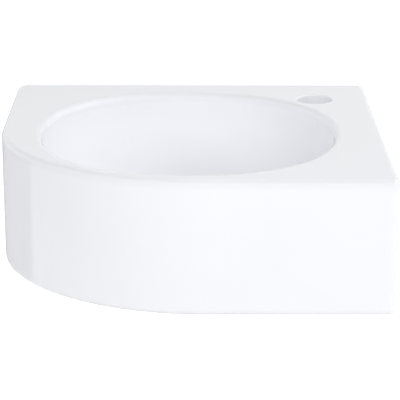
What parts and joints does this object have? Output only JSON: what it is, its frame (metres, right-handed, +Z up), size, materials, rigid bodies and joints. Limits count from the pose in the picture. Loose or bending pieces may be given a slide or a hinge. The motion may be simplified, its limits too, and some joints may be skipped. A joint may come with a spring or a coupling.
{
  "type": "corner hand basin",
  "caption": "Wall-hung corner hand basin with straight wall sides, a rounded front corner, a deep skirt, a round bowl, a corner tap hole and a push-open waste.",
  "frame": {"origin": "midpoint between the two wall bolts, in the plane of the back wall", "axes": "+Y into the back wall along the bolts, +X to the viewer's right towards the side wall, +Z up"},
  "size_m": [0.37, 0.4, 0.157],
  "materials": {
    "glazed_china": "gloss",
    "chrome": "polished",
    "black_rubber": "matte",
    "white_plastic": "satin",
    "white_nylon": "satin",
    "brass": "satin",
    "spring_steel": "satin",
    "zinc_steel": "satin"
  },
  "bodies": {
    "basin": {"basin_body": "glazed_china", "waste_body": "chrome", "flange_seal": "black_rubber", "lower_seal": "black_rubber", "friction_washer": "white_plastic", "backnut": "brass", "cartridge_body": "white_plastic", "cartridge_cap": "white_plastic", "latch_pin": "spring_steel", "return_spring": "spring_steel", "wall_bolts": "zinc_steel", "bolt_bushes": "white_nylon", "bolt_washers": "zinc_steel", "bolt_nuts": "zinc_steel"},
    "plug": {"plug_cap": "chrome", "plug_seal": "black_rubber", "plunger": "white_plastic"}
  },
  "joints": [
    {"name": "plug_push", "type": "slide", "parent": "basin", "child": "plug", "axis": [0, 0, 1], "range_m": [-0.0085, 0], "stiffness_N_per_m": 600, "springref_m": 0.01, "deforming": ["return_spring"]}
  ]
}
